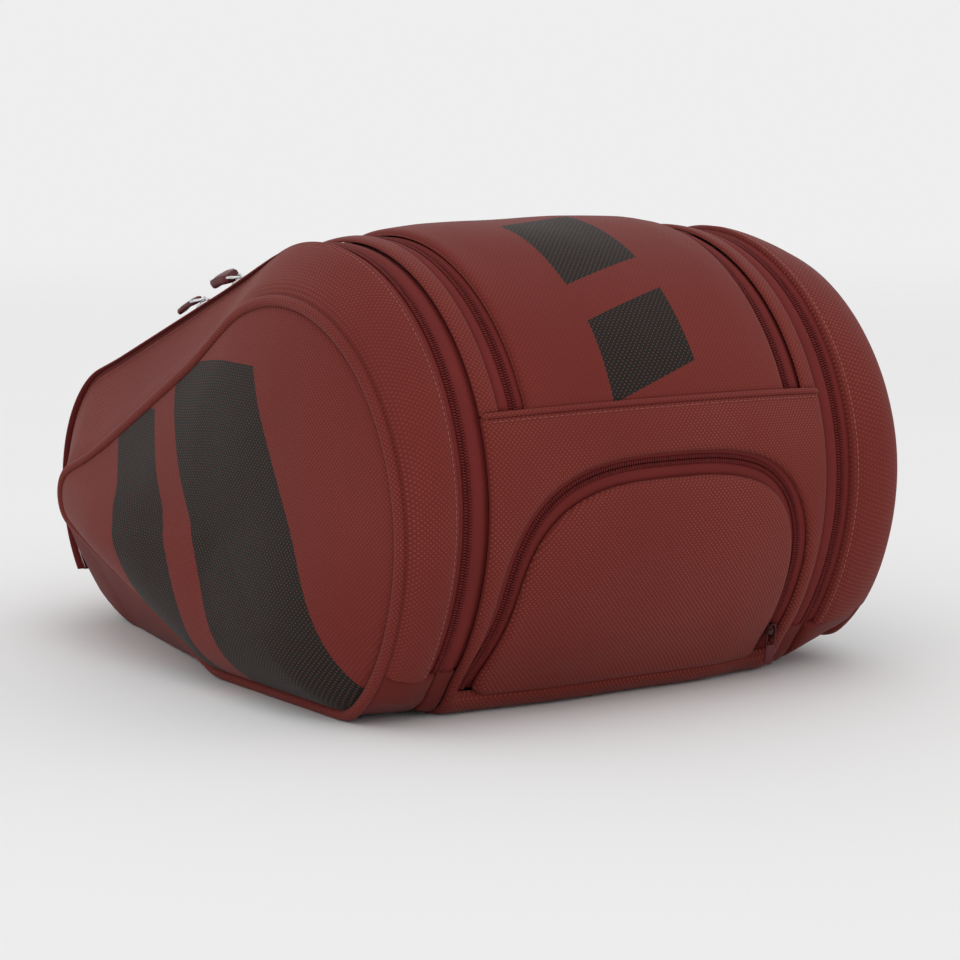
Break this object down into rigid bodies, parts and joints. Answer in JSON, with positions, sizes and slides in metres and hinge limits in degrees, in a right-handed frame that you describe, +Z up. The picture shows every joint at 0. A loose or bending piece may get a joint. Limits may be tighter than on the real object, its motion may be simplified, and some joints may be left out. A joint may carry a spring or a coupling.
{
  "type": "racket tournament bag",
  "caption": "Large teardrop racket bag with two zipped thermal side compartments, a zipped main flap, an end shoe pocket and padded shoulder straps.",
  "frame": {"origin": "centre of the footprint on the floor, under the middle of the bag", "axes": "+X to the bag's right seen from the shoe end, +Y from the shoe end to the narrow nose, +Z up; the bag lies on its padded back"},
  "size_m": [0.4498, 0.5601, 0.311],
  "materials": {
    "base_fabric": "matte weave",
    "buckle_plastic": "satin",
    "inner_lining": "smooth lining",
    "inner_mesh": "mesh",
    "padded_mesh": "open spacer mesh",
    "piping_fabric": "matte weave",
    "pull_tab": "satin",
    "shell_fabric": "matte, raised dots",
    "slider_metal": "polished zinc",
    "stiffener_board": "matte",
    "thermal_lining": "silvery foil cloth",
    "webbing": "ribbed",
    "zip_tape": "smooth matte"
  },
  "bodies": {
    "main_body": {"back_panel": "padded_mesh", "back_stiffener": "stiffener_board", "base_hem": "base_fabric", "near_end_panel": "shell_fabric", "near_seam_hem": "shell_fabric", "far_end_panel": "shell_fabric", "left_divider": "inner_lining", "right_divider": "inner_lining", "left_top_band": "shell_fabric", "right_top_band": "shell_fabric", "left_zip_body_tape": "zip_tape", "right_zip_body_tape": "zip_tape", "main_zip_body_tape": "zip_tape", "shoe_zip_body_tape": "zip_tape", "shoe_garage": "inner_lining", "zip_end_tabs": "base_fabric", "left_foot_panel": "base_fabric", "right_foot_panel": "base_fabric", "grab_handle": "webbing", "strap_d_rings": "slider_metal"},
    "main_flap": {"flap_panel": "shell_fabric", "flap_zip_tape": "zip_tape", "flap_mesh_pocket": "inner_mesh"},
    "shoe_flap": {"shoe_flap_panel": "shell_fabric", "shoe_flap_tape": "zip_tape"},
    "left_cover": {"left_gusset": "shell_fabric", "left_face": "shell_fabric", "left_piping": "piping_fabric", "left_zip_cover_tape": "zip_tape", "left_lining": "thermal_lining"},
    "left_slider_a": {"left_slider_a": "slider_metal"},
    "left_pull_a": {"left_puller_a": "slider_metal", "left_tab_a": "pull_tab"},
    "left_slider_b": {"left_slider_b": "slider_metal"},
    "left_pull_b": {"left_puller_b": "slider_metal", "left_tab_b": "pull_tab"},
    "left_strap": {"left_strap_pad": "padded_mesh", "left_strap_webbing": "webbing", "left_strap_hardware": "buckle_plastic"},
    "right_cover": {"right_gusset": "shell_fabric", "right_face": "shell_fabric", "right_piping": "piping_fabric", "right_zip_cover_tape": "zip_tape", "right_lining": "thermal_lining"},
    "right_slider_a": {"right_slider_a": "slider_metal"},
    "right_pull_a": {"right_puller_a": "slider_metal", "right_tab_a": "pull_tab"},
    "right_slider_b": {"right_slider_b": "slider_metal"},
    "right_pull_b": {"right_puller_b": "slider_metal", "right_tab_b": "pull_tab"},
    "right_strap": {"right_strap_pad": "padded_mesh", "right_strap_webbing": "webbing", "right_strap_hardware": "buckle_plastic"},
    "main_slider_left": {"main_slider_left": "slider_metal"},
    "main_pull_left": {"main_pull_left": "pull_tab"},
    "main_slider_right": {"main_slider_right": "slider_metal"},
    "main_pull_right": {"main_pull_right": "pull_tab"},
    "shoe_slider": {"shoe_slider": "slider_metal"},
    "shoe_pull": {"shoe_pull": "pull_tab"}
  },
  "joints": [
    {"name": "main_flap_hinge", "type": "hinge", "parent": "main_body", "child": "main_flap", "pos_m": [0, -0.26645, 0.20422], "axis": [1, 0, 0], "range_deg": [0, 100]},
    {"name": "shoe_flap_hinge", "type": "hinge", "parent": "main_body", "child": "shoe_flap", "pos_m": [0, -0.2314, 0.024], "axis": [1, 0, 0], "range_deg": [0, 60]},
    {"name": "left_cover_hinge", "type": "hinge", "parent": "main_body", "child": "left_cover", "pos_m": [-0.203, -0.11, 0.004], "axis": [0, -1, 0], "range_deg": [0, 65]},
    {"name": "left_slider_a_travel", "type": "slide", "parent": "left_cover", "child": "left_slider_a", "axis": [0, -0.9363, 0.3512], "range_m": [0, 0.055]},
    {"name": "left_pull_a_pivot", "type": "hinge", "parent": "left_slider_a", "child": "left_pull_a", "pos_m": [-0.16, 0.01712, 0.27688], "axis": [1, 0, 0], "range_deg": [0, 150]},
    {"name": "left_slider_b_travel", "type": "slide", "parent": "left_cover", "child": "left_slider_b", "axis": [0, 0.9363, -0.3512], "range_m": [0, 0.11]},
    {"name": "left_pull_b_pivot", "type": "hinge", "parent": "left_slider_b", "child": "left_pull_b", "pos_m": [-0.16, 0.06955, 0.25722], "axis": [1, 0, 0], "range_deg": [0, 150]},
    {"name": "left_strap_swing", "type": "hinge", "parent": "main_body", "child": "left_strap", "pos_m": [-0.066, 0.16, 0.0012], "axis": [1, 0, 0], "range_deg": [0, 80]},
    {"name": "right_cover_hinge", "type": "hinge", "parent": "main_body", "child": "right_cover", "pos_m": [0.203, -0.11, 0.004], "axis": [0, 1, 0], "range_deg": [0, 65]},
    {"name": "right_slider_a_travel", "type": "slide", "parent": "right_cover", "child": "right_slider_a", "axis": [0, -0.9363, 0.3512], "range_m": [0, 0.055]},
    {"name": "right_pull_a_pivot", "type": "hinge", "parent": "right_slider_a", "child": "right_pull_a", "pos_m": [0.16, 0.01712, 0.27688], "axis": [1, 0, 0], "range_deg": [0, 150]},
    {"name": "right_slider_b_travel", "type": "slide", "parent": "right_cover", "child": "right_slider_b", "axis": [0, 0.9363, -0.3512], "range_m": [0, 0.11]},
    {"name": "right_pull_b_pivot", "type": "hinge", "parent": "right_slider_b", "child": "right_pull_b", "pos_m": [0.16, 0.06955, 0.25722], "axis": [1, 0, 0], "range_deg": [0, 150]},
    {"name": "right_strap_swing", "type": "hinge", "parent": "main_body", "child": "right_strap", "pos_m": [0.066, 0.16, 0.0012], "axis": [1, 0, 0], "range_deg": [0, 80]},
    {"name": "main_slider_left_travel", "type": "slide", "parent": "main_flap", "child": "main_slider_left", "axis": [-1, 0, 0], "range_m": [0, 0.05]},
    {"name": "main_pull_left_pivot", "type": "hinge", "parent": "main_slider_left", "child": "main_pull_left", "pos_m": [-0.014, 0.20063, 0.20805], "axis": [0, 0.9363, -0.3512], "range_deg": [0, 150]},
    {"name": "main_slider_right_travel", "type": "slide", "parent": "main_flap", "child": "main_slider_right", "axis": [1, 0, 0], "range_m": [0, 0.05]},
    {"name": "main_pull_right_pivot", "type": "hinge", "parent": "main_slider_right", "child": "main_pull_right", "pos_m": [0.014, 0.20063, 0.20805], "axis": [0, -0.9363, 0.3512], "range_deg": [0, 150]},
    {"name": "shoe_slider_travel", "type": "hinge", "parent": "shoe_flap", "child": "shoe_slider", "pos_m": [0.125, -0.11, 0.143], "axis": [-1, 0, 0], "range_deg": [0, 6]},
    {"name": "shoe_pull_pivot", "type": "hinge", "parent": "shoe_slider", "child": "shoe_pull", "pos_m": [0.125, -0.24343, 0.03766], "axis": [-1, 0, 0], "range_deg": [-30, 100]}
  ]
}
